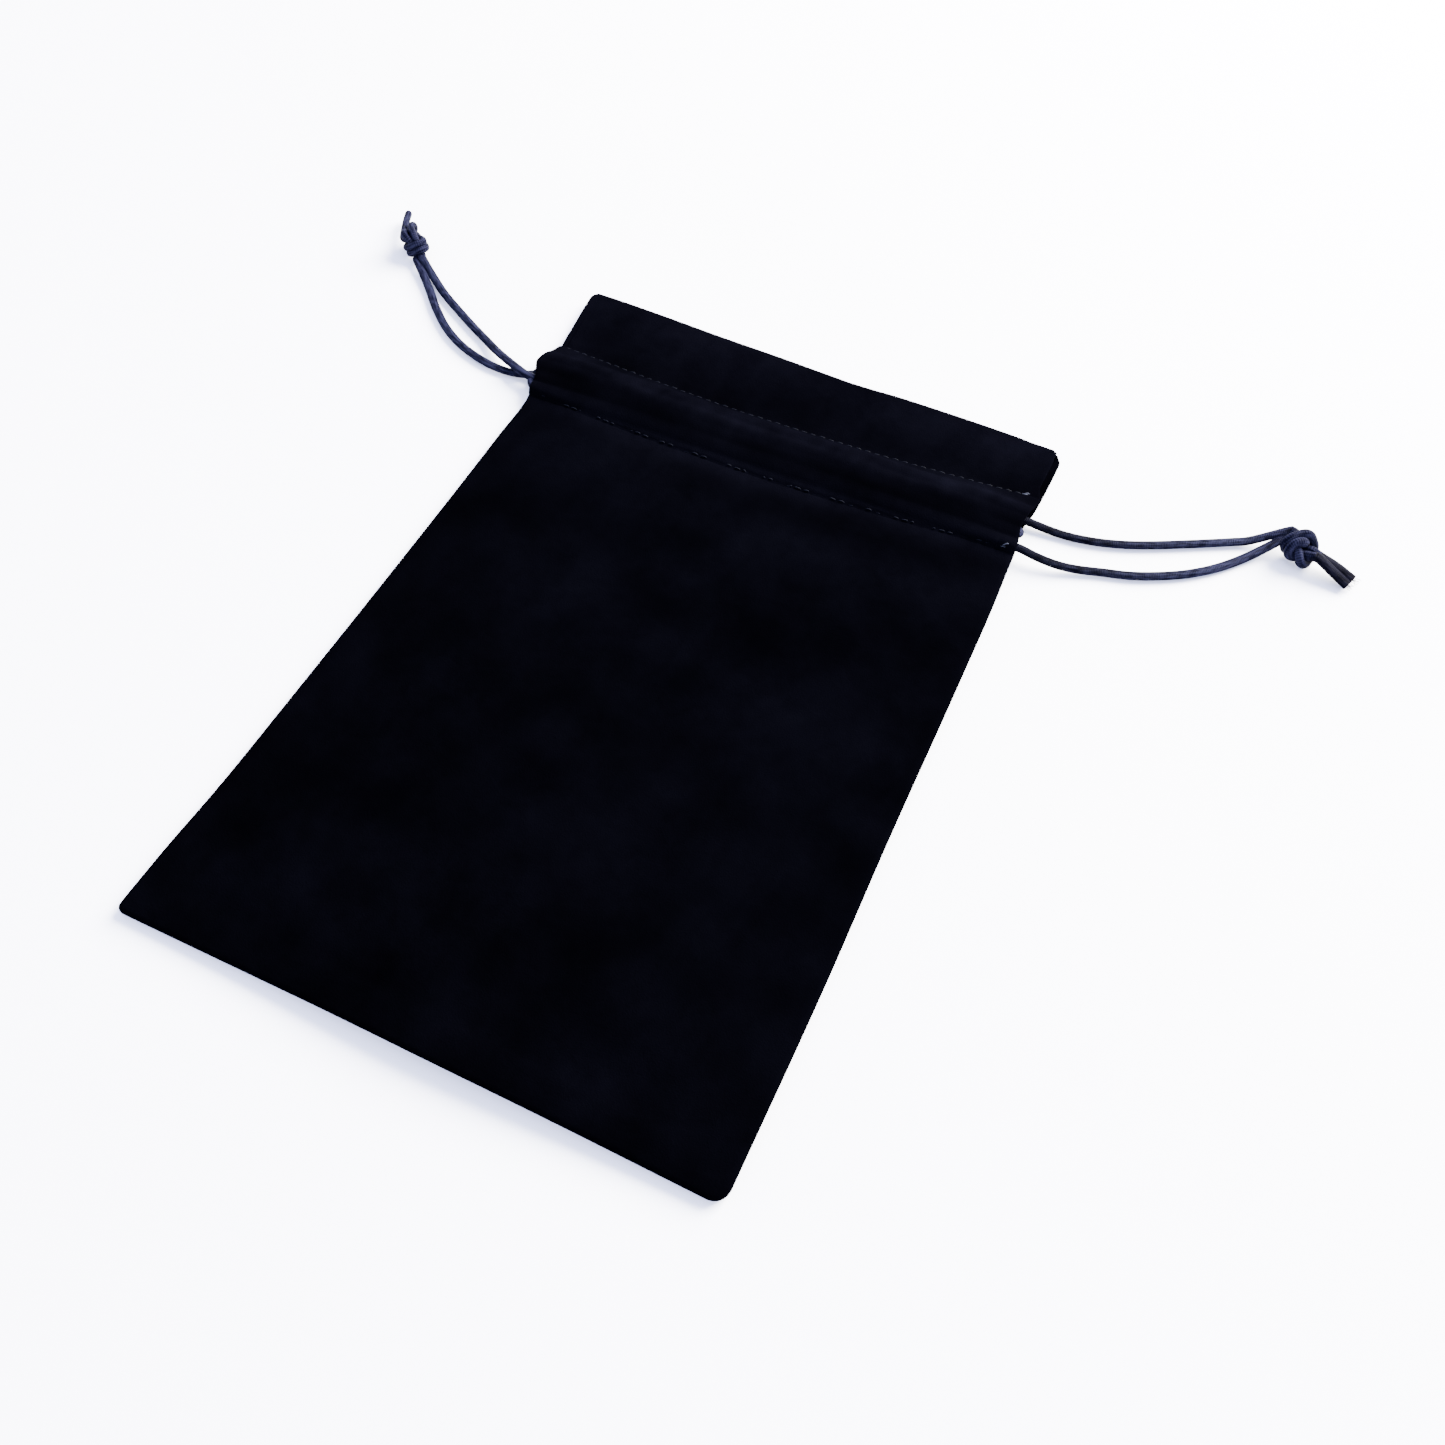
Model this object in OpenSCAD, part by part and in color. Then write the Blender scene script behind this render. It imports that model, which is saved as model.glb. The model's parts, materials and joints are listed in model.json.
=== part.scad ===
/* [Bag] */
// Width of the flat bag
bag_w = 152; // [140:1:170]
// Length of the flat bag from its bottom seam to its mouth
bag_l = 229; // [215:1:250]
// Thickness of one layer of velvet
cloth = 0.7; // [0.6:0.05:0.8]
// Width of the slope from each seam up to the lofted middle
slope_w = 20; // [15:1:26]

/* [Casing] */
// Height of the drawstring casing between its two stitch rows
casing_h = 20.5; // [20:0.5:23]
// Distance from the bottom seam to the lower stitch row, on the middle line
row_up = 183.5; // [178:0.5:188]
// Slant of the stitch rows across the bag, in degrees
row_slant = 2.3; // [0:0.1:3]
// Length of one stitch
stitch_l = 2.9; // [2:0.1:3]
// Distance from one stitch to the next
stitch_pitch = 4.1; // [3.6:0.1:5]

/* [Cord] */
// Diameter of the satin cord
cord_d = 2.2; // [2:0.1:2.3]
// Radius of the left, slim knot
slim_knot_r = 2.8; // [2.6:0.1:3.2]
// Radius of the right, chunky knot
chunky_knot_r = 3.5; // [3.2:0.1:4]

/* [Hidden] */

velvet = "midnightblue";
inner_velvet = "darkslateblue";
thread = "slategray";
satin = "lightsteelblue";

half_w = bag_w / 2;
half_l = bag_l / 2;
cord_r = cord_d / 2;
// Free space left round a cord inside its casing
cord_gap = 0.2;
// Free space between the two inner layers, where a crossing cord passes
lip_gap = 0.75;
// Height of a raised stitch, and of the seam threads between the panels
thread_t = 0.5;
thread_w = 0.5;
// Half the slit between a panel and the lip that folds back from it
fold_gap = 0.15;
// Flat strip beside each stitch row, where the layers are pinched together
pinch = 1;
// Run over which a casing rises from its pinched edge
rise = 1.2;
// How far the inner layers stop short of the bag's sides
facing_inset = 4.5;
// How far the seam threads lie inside the bag's edge
seam_inset = 1.6;
// Run over which the header falls from a casing to the mouth
header_fall = 8;
// Radii of the bag's corners: near left, near right and at the mouth
near_r = 1.5;
droop_r = 6;
mouth_r = 2.5;

// Heights of the stacked layers
back_cord_z = cloth + cord_gap + cord_r;
back_facing_z = cloth + 2 * cord_gap + cord_d;
front_facing_z = back_facing_z + cloth + lip_gap;
front_cord_z = front_facing_z + cloth + cord_gap + cord_r;
front_top_z = front_facing_z + cloth + 2 * cord_gap + cord_d;
fold_z = front_facing_z + 2 * cloth;
header_z = 2 * cloth + 0.3;
rim_z = cloth + thread_t;

// The lower stitch row crosses the middle line here
row_y = row_up - half_l;
// Distances above the lower row at which each cord runs in its casing
left_front_v = 8;
left_back_v = 12;
right_front_v = 4;
right_back_v = 16;
// Where the runs end, at each side, and how round the turns are
run_end = 72;
turn_r = 2.2;
// Straight lead into a turn or a leg, and the slit between parts that move apart
lead = 1.2;
part_gap = 0.3;

// Places measured along the row, up from it and above the table
function on_row(u, v, z) = [
    u * cos(row_slant) - v * sin(row_slant),
    row_y + u * sin(row_slant) + v * cos(row_slant),
    z
];

// Cord routes, from the casing to the knot, as points along the cord's middle
left_front_route = [
    on_row(-run_end, left_front_v, front_cord_z),
    on_row(-run_end - lead, left_front_v, front_cord_z),
    on_row(-76, left_front_v, 6.5),
    [-80, 75.2, 5.4], [-85, 77.4, 3.7], [-90.5, 80.2, 2.2], [-96, 83.4, 1.2], [-103, 87, 1.1],
    [-111, 91.4, 1.1], [-118.5, 95.8, 1.1], [-125.5, 100.8, 1.1], [-130, 104.6, 1.8], [-133.2, 107.2, 2.8]
];
left_back_route = [
    on_row(-run_end, left_back_v, back_cord_z),
    on_row(-run_end - lead, left_back_v, back_cord_z),
    on_row(-76.5, left_back_v - 0.7, 2),
    [-81, 75.4, 1.1], [-86, 74.8, 1.1], [-93, 75.6, 1.1], [-101.5, 78.2, 1.1], [-109.5, 82.6, 1.1],
    [-117, 88.8, 1.1], [-123, 94.8, 1.1], [-128.5, 100, 1.3], [-131.5, 102.8, 2.1], [-133.8, 105, 2.8]
];
right_front_route = [
    on_row(run_end, right_front_v, front_cord_z),
    on_row(run_end + lead, right_front_v, front_cord_z),
    on_row(76, right_front_v, 6.5),
    [81, 75.7, 4.9], [86.5, 76.3, 3], [92, 77.9, 1.6], [98.5, 80.2, 1.1], [106, 82.6, 1.1],
    [113.5, 86.2, 1.1], [120.5, 90.6, 1.1], [127, 96.2, 1.1], [133.4, 103.4, 1.3], [140.2, 110.4, 3.2]
];
right_back_route = [
    on_row(run_end, right_back_v, back_cord_z),
    on_row(run_end + lead, right_back_v, back_cord_z),
    on_row(76.5, right_back_v - 0.2, 2),
    [84, 88.1, 1.1], [92, 89.3, 1.1], [100, 91.8, 1.1], [107.5, 95.2, 1.1], [115, 99.2, 1.1],
    [122.5, 103.4, 1.1], [128, 106.5, 1.1], [132.5, 109, 1.3], [136.5, 111.2, 2.4], [140.6, 112.6, 3.4]
];
left_tail_route = [[-142, 114.2, 2.6], [-143.8, 116.6, 1.6], [-146, 120, 1.1]];
right_upper_tail_route = [[150, 111.2, 3], [154.5, 109.8, 1.6], [159.5, 108.4, 1.1]];
right_lower_tail_route = [[149.5, 107.6, 2.6], [154, 105.6, 1.4], [159, 103.6, 1.1]];
// The right cord's turn passes between the two legs of the left cord
cross_z = (front_cord_z + back_cord_z) / 2;
right_turn_route = [
    on_row(-run_end, right_front_v, front_cord_z),
    on_row(-run_end - lead, right_front_v, front_cord_z),
    on_row(-74.3, right_front_v + 0.9, 5.7),
    on_row(-74.6, right_front_v + 2.4, cross_z),
    on_row(-74.6, right_back_v - 2.4, cross_z),
    on_row(-74.3, right_back_v - 0.9, 3),
    on_row(-run_end - lead, right_back_v, back_cord_z),
    on_row(-run_end, right_back_v, back_cord_z)
];

// Vectors for the swept tubes
function unit(a) = a / norm(a);
function heading(p, i) = unit(p[min(i + 1, len(p) - 1)] - p[max(i - 1, 0)]);
function ring(p, i, r, sides) =
    let (t = heading(p, i), s = unit(cross([0, 0, 1], t)), w = cross(t, s))
    [for (k = [0 : sides - 1]) p[i] + r * (cos(360 * k / sides) * s + sin(360 * k / sides) * w)];

// A tube of round cord swept along a route
module tube(p, r = cord_r, sides = 8) {
    rings = len(p);
    points = [for (i = [0 : rings - 1]) each ring(p, i, r, sides)];
    walls = [
        for (i = [0 : rings - 2], k = [0 : sides - 1])
        let (n = (k + 1) % sides, near = i * sides, far = near + sides)
        each [[near + k, far + k, far + n], [near + k, far + n, near + n]]
    ];
    start_cap = [for (k = [0 : sides - 1]) k];
    end_cap = [for (k = [sides - 1 : -1 : 0]) (rings - 1) * sides + k];
    polyhedron(points = points, faces = concat(walls, [start_cap, end_cap]), convexity = 6);
}

// A tight U from a front run to a back run, bulging towards one side
function u_turn(front, back, side, steps = 3) =
    let (w = unit(back - front), out = side * unit(on_row(1, 0, 0) - on_row(0, 0, 0)))
    concat(
        [front - lead * out],
        [for (i = [0 : steps]) let (a = 90 * i / steps) front + turn_r * (sin(a) * out + (1 - cos(a)) * w)],
        [for (i = [steps : -1 : 0]) let (a = 90 * i / steps) back + turn_r * (sin(a) * out - (1 - cos(a)) * w)],
        [back - lead * out]
    );

// Stands its children on the lower stitch row
module row_frame() {
    translate([0, row_y, 0])
    rotate([0, 0, row_slant])
    children();
}

// The bag's outline, drawn in by a margin
module outline(margin = 0) {
    hull() {
        translate([-half_w + margin + near_r, -half_l + margin + near_r]) circle(r = near_r, $fn = 24);
        translate([half_w - margin - droop_r, -half_l + margin + droop_r]) circle(r = droop_r, $fn = 32);
        for (side = [-1, 1])
            translate([side * (half_w - margin - mouth_r), half_l - mouth_r]) circle(r = mouth_r, $fn = 24);
    }
}

// Everything below the lower stitch row
module below_row() {
    row_frame() translate([-bag_w, -2 * bag_l - fold_gap, -1]) cube([2 * bag_w, 2 * bag_l, 40]);
}

// One layer of a lip: a cross-section drawn up from the row, run across the whole bag
module lip_layer(section, margin = 0) {
    intersection() {
        row_frame()
            rotate([90, 0, 90])
            translate([0, 0, -bag_w])
            linear_extrude(height = 2 * bag_w) polygon(section);
        translate([0, 0, -1]) linear_extrude(height = 30) outline(margin);
    }
}

// A cloth section: the underside's points, then the same points one cloth higher
function cloth_section(under) = concat(
    under,
    [for (i = [len(under) - 1 : -1 : 0]) [under[i][0], under[i][1] + cloth]]
);

// The underside of a casing layer that rises over the cords and falls to the header
function casing_under(low, high, header, fall) = [
    [fold_gap, low], [pinch, low], [pinch + rise, high], [casing_h - pinch - rise, high],
    [casing_h - pinch, low], [casing_h + pinch, low], [casing_h + pinch + fall, header], [bag_l / 4, header]
];

// A row of separate stitches lying on the cloth
module stitch_row(v, z) {
    count = floor((bag_w - 10) / stitch_pitch);
    row_frame()
    for (i = [0 : count - 1])
        translate([(i - (count - 1) / 2) * stitch_pitch - stitch_l / 2, v - thread_w / 2, z])
        cube([stitch_l, thread_w, thread_t]);
}

// A straight length of cord held in a casing, its ends clear of the turn and legs by a gap
module run(v, z, gap = 0) {
    row_frame()
        translate([gap - run_end, v, z])
        rotate([0, 90, 0])
        cylinder(r = cord_r, h = 2 * (run_end - gap), $fn = 32);
}

// A knot as a barrel of wraps round its own length
module wraps(length, r, count) {
    wrap_r = length / (2 * count);
    rotate_extrude($fn = 32)
    intersection() {
        union() {
            translate([0, wrap_r]) square([r - wrap_r, length - 2 * wrap_r]);
            for (i = [0 : count - 1])
                translate([r - wrap_r, (2 * i + 1) * wrap_r]) circle(r = wrap_r, $fn = 24);
        }
        square([r, length]);
    }
}

module back_panel() {
    color(velvet)
    intersection() {
        linear_extrude(height = cloth) outline();
        below_row();
    }
}

module front_panel() {
    color(velvet)
    intersection() {
        difference() {
            hull() {
                translate([0, 0, rim_z]) linear_extrude(height = cloth) outline();
                translate([0, 0, fold_z - cloth]) linear_extrude(height = cloth) outline(slope_w);
            }
            hull() {
                translate([0, 0, rim_z - 1]) linear_extrude(height = 1) outline(3);
                translate([0, 0, fold_z - cloth - 1]) linear_extrude(height = 1) outline(slope_w + 1);
            }
        }
        below_row();
    }
}

module back_lip() {
    color(velvet)
    lip_layer(cloth_section([[fold_gap, 0], [bag_l / 4, 0]]));
}

module back_facing() {
    color(inner_velvet)
    lip_layer(cloth_section(casing_under(cloth, back_facing_z, cloth, 0.5)), facing_inset);
}

module front_facing() {
    color(inner_velvet)
    lip_layer(
        cloth_section([
            [fold_gap, front_facing_z], [casing_h + pinch, front_facing_z],
            [casing_h + pinch + header_fall, header_z], [bag_l / 4, header_z]
        ]),
        facing_inset
    );
}

module front_lip() {
    color(velvet)
    lip_layer(
        cloth_section(casing_under(front_facing_z + cloth, front_top_z, header_z + cloth, header_fall))
    );
}

module front_upper_stitches() {
    color(thread) stitch_row(casing_h, fold_z);
}

module front_lower_stitches() {
    color(thread) stitch_row(fold_gap + thread_w, fold_z);
}

module back_upper_stitches() {
    color(thread) stitch_row(casing_h, 2 * cloth);
}

module back_lower_stitches() {
    color(thread) stitch_row(fold_gap + thread_w, 2 * cloth);
}

// Lockstitched thread between the two panels, just inside the edge
module side_thread(side) {
    color(thread)
    translate([side * (half_w - seam_inset) - thread_w / 2, -half_l + 2 * seam_inset, cloth])
    cube([thread_w, row_up - 4 * seam_inset, thread_t]);
}

module left_seam_thread() {
    side_thread(-1);
}

module right_seam_thread() {
    side_thread(1);
}

module bottom_seam_thread() {
    color(thread)
    translate([-half_w + 2 * seam_inset, -half_l + seam_inset - thread_w / 2, cloth])
    cube([bag_w - 2 * seam_inset - 2 * droop_r, thread_w, thread_t]);
}

// Doubled thread where each front row is sewn back over itself at the right end
module back_tack_threads() {
    tack_w = 1.2;
    color("silver")
    row_frame()
    for (v = [fold_gap + thread_w, casing_h])
        translate([half_w - 4.2, v - thread_w / 2, fold_z])
        cube([tack_w, thread_w, thread_t + 0.2]);
}

module left_front_run() {
    color(satin) run(left_front_v, front_cord_z, part_gap);
}

module left_back_run() {
    color(satin) run(left_back_v, back_cord_z);
}

module left_turn() {
    color(satin)
    tube(u_turn(
        on_row(run_end + lead, left_front_v, front_cord_z),
        on_row(run_end + lead, left_back_v, back_cord_z),
        1
    ));
}

module left_front_leg() {
    color(satin) tube(left_front_route);
}

module left_back_leg() {
    color(satin) tube(left_back_route);
}

// The slim knot, with its length along the way the cord arrives
module left_knot() {
    knot_l = 15;
    color(satin)
    translate([-132.4, 103.4, slim_knot_r])
    rotate([0, 90, 132])
    wraps(knot_l, slim_knot_r, 6);
}

module left_tail() {
    color(satin) tube(left_tail_route);
}

module right_front_run() {
    color(satin) run(right_front_v, front_cord_z, part_gap);
}

module right_back_run() {
    color(satin) run(right_back_v, back_cord_z);
}

module right_turn() {
    color(satin) tube(right_turn_route);
}

module right_front_leg() {
    color(satin) tube(right_front_route);
}

module right_back_leg() {
    color(satin) tube(right_back_route);
}

// The chunky knot, one barrel of wraps across another
module right_knot() {
    color(satin)
    union() {
        translate([139.4, 111.4, chunky_knot_r])
            rotate([0, 90, -6])
            wraps(12, chunky_knot_r, 4);
        translate([144.2, 106.4, chunky_knot_r])
            rotate([0, 90, 78])
            wraps(10.5, chunky_knot_r - 0.3, 3);
    }
}

module right_upper_tail() {
    color(satin) tube(right_upper_tail_route);
}

module right_lower_tail() {
    color(satin) tube(right_lower_tail_route);
}

back_panel();
front_panel();
back_lip();
front_lip();
back_facing();
front_facing();
front_upper_stitches();
front_lower_stitches();
back_upper_stitches();
back_lower_stitches();
left_seam_thread();
right_seam_thread();
bottom_seam_thread();
back_tack_threads();
left_front_run();
left_back_run();
left_turn();
left_front_leg();
left_back_leg();
left_knot();
left_tail();
right_front_run();
right_back_run();
right_turn();
right_front_leg();
right_back_leg();
right_knot();
right_upper_tail();
right_lower_tail();
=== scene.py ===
"""Velvet drawstring dice bag, lying flat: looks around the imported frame.

Lengths inside the shape functions are in millimetres, in the frame's own axes, and MM turns them
into metres where a mesh is made.
"""

import json
import math
import random

import bpy
import numpy as np
from mathutils import Matrix, Vector


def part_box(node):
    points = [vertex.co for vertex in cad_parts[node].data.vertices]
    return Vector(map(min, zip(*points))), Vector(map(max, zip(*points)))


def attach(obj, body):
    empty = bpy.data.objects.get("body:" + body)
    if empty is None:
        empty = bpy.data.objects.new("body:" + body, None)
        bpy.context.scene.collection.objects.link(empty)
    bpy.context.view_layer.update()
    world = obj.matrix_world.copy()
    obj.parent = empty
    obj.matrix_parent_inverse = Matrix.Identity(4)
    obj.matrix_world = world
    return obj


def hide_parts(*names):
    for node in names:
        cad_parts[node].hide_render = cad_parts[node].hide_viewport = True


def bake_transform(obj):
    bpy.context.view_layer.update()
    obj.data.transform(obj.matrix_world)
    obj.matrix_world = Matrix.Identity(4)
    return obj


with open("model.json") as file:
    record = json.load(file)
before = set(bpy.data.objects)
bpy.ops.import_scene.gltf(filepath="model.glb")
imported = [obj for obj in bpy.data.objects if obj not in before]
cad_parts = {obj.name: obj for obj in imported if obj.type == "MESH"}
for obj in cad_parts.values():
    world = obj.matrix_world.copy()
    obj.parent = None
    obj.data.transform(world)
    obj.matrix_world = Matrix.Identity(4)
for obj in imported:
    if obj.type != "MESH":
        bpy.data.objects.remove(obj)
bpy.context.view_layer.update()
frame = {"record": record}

MM = 0.001


# ------------------------------------------------------------------ sizes from the frame

def joint(name):
    """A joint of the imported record."""
    return next(j for j in frame["record"]["behaviour"]["joints"] if j["name"] == name)


PANEL_LO = [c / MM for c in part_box("back_panel")[0]]
PANEL_HI = [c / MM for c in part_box("back_panel")[1]]
LIP_HI = [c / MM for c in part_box("front_lip")[1]]
HALF_W = PANEL_HI[0]
BOTTOM_Y = PANEL_LO[1]
MOUTH_Y = LIP_HI[1]
CLOTH = PANEL_HI[2] - PANEL_LO[2]

FOLD = joint("mouth_open")
ROW_Y = FOLD["pos_m"][1] / MM
ROW_COS, ROW_SIN = FOLD["axis"][0], FOLD["axis"][1]
CORD_D = 2.2
CORD_R = CORD_D / 2
# How much wider than round, and lower, a free leg lies
FLAT = 0.2
# The share of its radius that a cord keeps in the casing, where the cloth presses on it
HELD = 0.98

# How far up from the row each cord runs in its casing
LEFT_FRONT_V, LEFT_BACK_V = 8.0, 12.0
RIGHT_FRONT_V, RIGHT_BACK_V = 4.0, 16.0
# Where the cords leave the casings, along the row, and how high they run inside
RUN_END = 72.0
FRONT_CORD_Z = 3.45
BACK_CORD_Z = 2.0


def on_row(u, v, z):
    """A place measured along the stitch row, up from it, and above the table."""
    return np.array([u * ROW_COS - v * ROW_SIN, ROW_Y + u * ROW_SIN + v * ROW_COS, z])


def row_v(x, y):
    """How far up from the straight fold line a place is."""
    return -x * ROW_SIN + (y - ROW_Y) * ROW_COS


# ------------------------------------------------------------------ camera

def make_camera():
    """A camera above the bag's lower right corner, looking down at 58 degrees with a slight roll."""
    place = Vector((0.0967, -0.1737, 0.2890))
    target = Vector((0.0260, -0.0079, 0.0))
    roll = math.radians(2.476)
    data = bpy.data.cameras.new("camera")
    data.lens = 33.68
    data.sensor_width = 36.0
    data.clip_start = 0.01
    cam = bpy.data.objects.new("camera", data)
    bpy.context.scene.collection.objects.link(cam)
    turn = (target - place).to_track_quat("-Z", "Y").to_matrix()
    cam.matrix_world = Matrix.Translation(place) @ (turn @ Matrix.Rotation(roll, 3, "Z")).to_4x4()
    bpy.context.scene.camera = cam


make_camera()


# ------------------------------------------------------------------ small helpers

def smooth(a, b, x):
    """0 below a, 1 above b, and a smooth step between them."""
    t = np.clip((np.asarray(x, float) - a) / (b - a), 0.0, 1.0)
    return t * t * (3 - 2 * t)


def bell(x, middle, width):
    """A soft bump of height 1."""
    return np.exp(-((np.asarray(x, float) - middle) / width) ** 2)


def through(points, t):
    """A smooth curve through (place, value) pairs, read at t."""
    p = np.array(points, float)
    slope = np.gradient(p[:, 1], p[:, 0])
    t = np.clip(t, p[0, 0], p[-1, 0])
    i = np.clip(np.searchsorted(p[:, 0], t) - 1, 0, len(p) - 2)
    width = p[i + 1, 0] - p[i, 0]
    s = (t - p[i, 0]) / width
    a = 2 * s**3 - 3 * s**2 + 1
    b = s**3 - 2 * s**2 + s
    c = -2 * s**3 + 3 * s**2
    d = s**3 - s**2
    return a * p[i, 1] + b * width * slope[i] + c * p[i + 1, 1] + d * width * slope[i + 1]


def ripple(x, y, scale, seed, waves=7):
    """Smooth, repeatable unevenness between about -1 and 1, with features about scale across."""
    draw = random.Random(seed)
    total = np.zeros(np.broadcast(x, y).shape)
    for _ in range(waves):
        turn = draw.uniform(0, math.tau)
        k = math.tau / (scale * draw.uniform(0.7, 1.6))
        total += np.sin(k * (x * math.cos(turn) + y * math.sin(turn)) + draw.uniform(0, math.tau))
    return total / math.sqrt(waves)


def catmull(points, step):
    """Evenly spaced places, about step apart, on a smooth curve through the points."""
    p = [np.array(q, float) for q in points]
    p = [2 * p[0] - p[1]] + p + [2 * p[-1] - p[-2]]
    fine = []
    for a, b, c, d in zip(p, p[1:], p[2:], p[3:]):
        for t in np.linspace(0, 1, 24, endpoint=False):
            fine.append(0.5 * (2 * b + (c - a) * t + (2 * a - 5 * b + 4 * c - d) * t**2
                               + (3 * b - a - 3 * c + d) * t**3))
    fine = np.array(fine + [p[-2]])
    far = np.concatenate([[0], np.cumsum(np.linalg.norm(np.diff(fine, axis=0), axis=1))])
    at = np.linspace(0, far[-1], max(3, int(round(far[-1] / step)) + 1))
    return np.stack([np.interp(at, far, fine[:, k]) for k in range(3)], axis=1)


def path_length(path):
    """The length of a line through places."""
    return float(np.linalg.norm(np.diff(path, axis=0), axis=1).sum())


def mesh_piece(name, verts, faces, material):
    """A smooth-shaded mesh object from places in millimetres."""
    data = bpy.data.meshes.new(name)
    data.from_pydata((np.asarray(verts) * MM).tolist(), [], [tuple(f) for f in faces])
    data.materials.append(material)
    data.polygons.foreach_set("use_smooth", [True] * len(data.polygons))
    data.update()
    obj = bpy.data.objects.new(name, data)
    bpy.context.scene.collection.objects.link(obj)
    return obj


# ------------------------------------------------------------------ materials

class Nodes:
    """A short way to write a node material."""

    def __init__(self, name):
        self.material = bpy.data.materials.new(name)
        self.material.use_nodes = True
        self.tree = self.material.node_tree
        self.tree.nodes.clear()
        self.out = self.add("ShaderNodeOutputMaterial")
        self.shader = self.add("ShaderNodeBsdfPrincipled")
        self.link(self.shader, "BSDF", self.out, "Surface")

    def add(self, kind, **inputs):
        node = self.tree.nodes.new(kind)
        for key, value in inputs.items():
            node.inputs[key.replace("_", " ")].default_value = value
        return node

    def link(self, a, out, b, into):
        self.tree.links.new(a.outputs[out], b.inputs[into])

    def place(self):
        """Places on the object, in metres, at the Object output."""
        return self.add("ShaderNodeTexCoord")

    def noise(self, source, out, scale, detail=4.0, rough=0.5, distortion=0.0):
        node = self.add("ShaderNodeTexNoise", Scale=scale, Detail=detail, Roughness=rough,
                        Distortion=distortion)
        self.link(source, out, node, "Vector")
        return node

    def stretched(self, source, out, scale):
        """A place scaled differently along each axis."""
        node = self.tree.nodes.new("ShaderNodeMapping")
        node.inputs["Scale"].default_value = scale
        self.link(source, out, node, "Vector")
        return node

    def weighted(self, *parts):
        """The sum of several textures, each a (node, share) pair."""
        total = None
        for texture, share in parts:
            node = self.tree.nodes.new("ShaderNodeMath")
            node.operation = "MULTIPLY_ADD"
            node.inputs[1].default_value = share
            node.inputs[2].default_value = 0.0
            self.link(texture, "Fac", node, 0)
            if total is not None:
                self.link(total, 0, node, 2)
            total = node
        return total

    def scaled(self, color, factor, out):
        """A colour times a number from another node."""
        node = self.tree.nodes.new("ShaderNodeVectorMath")
        node.operation = "SCALE"
        self.link(color, "Color", node, "Vector")
        self.link(factor, out, node, "Scale")
        return node

    def attribute(self, name):
        """A value that the mesh carries at its points."""
        node = self.tree.nodes.new("ShaderNodeAttribute")
        node.attribute_name = name
        return node

    def ramp(self, source, out, stops):
        node = self.tree.nodes.new("ShaderNodeValToRGB")
        while len(node.color_ramp.elements) < len(stops):
            node.color_ramp.elements.new(0.5)
        for element, (at, color) in zip(node.color_ramp.elements, stops):
            element.position = at
            element.color = (*color, 1.0)
        self.link(source, out, node, "Fac")
        return node

    def bump(self, height, out, strength, distance, under=None):
        node = self.add("ShaderNodeBump", Strength=strength, Distance=distance)
        self.link(height, out, node, "Height")
        if under is not None:
            self.link(under, "Normal", node, "Normal")
        return node


def velvet(name, dark, light):
    """Short brushed pile: clouded where it lies one way or the other, with a soft edge sheen, and painted
    light from a value the mesh carries.
    """
    n = Nodes(name)
    place = n.place()
    brushed = n.stretched(place, "Object", (1.0, 0.55, 1.0))
    cloud = n.noise(brushed, "Vector", 34.0, 5.0, 0.55, 0.6)
    blotch = n.noise(place, "Object", 190.0, 4.0, 0.6, 0.3)
    pile = n.noise(place, "Object", 2600.0, 3.0, 0.6)
    mixed = n.weighted((cloud, 0.55), (blotch, 0.3), (pile, 0.15))
    color = n.ramp(mixed, 0, [(0.32, dark), (0.68, light)])
    # Base colour times a value the mesh carries: the pile's mottling plus painted light and painted
    # highlight.
    n.link(n.scaled(color, n.attribute("nap_and_painted_light"), "Fac"), "Vector", n.shader, "Base Color")
    n.shader.inputs["Roughness"].default_value = 0.95
    n.shader.inputs["Specular IOR Level"].default_value = 0.0
    n.shader.inputs["Sheen Weight"].default_value = 0.003
    n.shader.inputs["Sheen Roughness"].default_value = 0.3
    n.shader.inputs["Sheen Tint"].default_value = (0.5, 0.52, 0.9, 1.0)
    fine = n.bump(pile, "Fac", 0.55, 0.00035)
    soft = n.bump(blotch, "Fac", 0.25, 0.0006, fine)
    n.link(soft, "Normal", n.shader, "Normal")
    return n.material


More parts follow.
